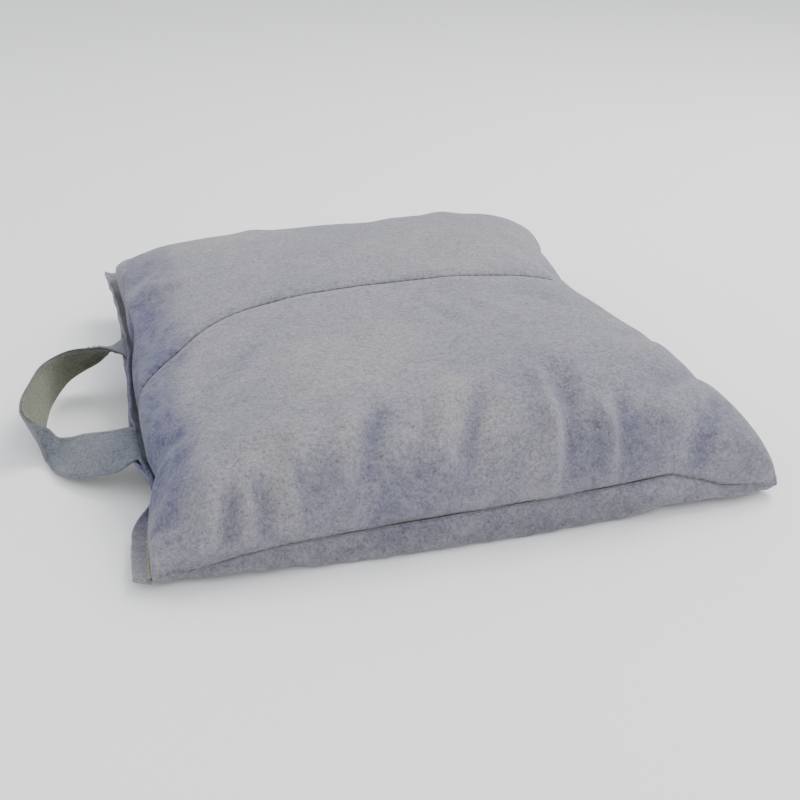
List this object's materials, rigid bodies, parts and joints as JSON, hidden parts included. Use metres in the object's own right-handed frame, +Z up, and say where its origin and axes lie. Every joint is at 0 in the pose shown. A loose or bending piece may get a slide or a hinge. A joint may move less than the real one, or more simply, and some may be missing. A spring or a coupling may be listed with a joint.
{
  "type": "sandbag",
  "caption": "Square suede leather sandbag that weighs down studio stands, sewn shut along a left flange that holds a folded leather carrying loop.",
  "frame": {"origin": "middle of the bag's flat underside", "axes": "+Z up; +X away from the carrying strap, towards the right seam; +Y towards the rear seam"},
  "size_m": [0.4537, 0.404, 0.1016],
  "materials": {
    "bag_suede": "matte",
    "strap_suede": "matte",
    "strap_lining": "matte",
    "liner_canvas": "matte",
    "sand": "matte",
    "seam_thread": "matte",
    "closing_thread": "matte"
  },
  "bodies": {
    "bag": {"bottom_panel": "bag_suede", "top_front_panel": "bag_suede", "top_rear_panel": "bag_suede", "liner_bottom": "liner_canvas", "liner_top": "liner_canvas", "sand_fill": "sand", "front_seam_thread": "seam_thread", "right_seam_thread": "seam_thread", "rear_seam_thread": "seam_thread", "cross_seam_thread": "seam_thread", "closing_stitch": "closing_thread", "strap_front_end": "strap_suede", "strap_rear_end": "strap_suede", "strap_tacks": "seam_thread"},
    "strap": {"strap_outer_layer": "strap_suede", "strap_inner_layer": "strap_lining", "strap_stitching": "seam_thread"}
  },
  "joints": [
    {"name": "strap_fold", "type": "hinge", "parent": "bag", "child": "strap", "pos_m": [-0.19436, -0.017, 0.02993], "axis": [0, 0.9965, 0.0841], "range_deg": [0, 100]}
  ]
}
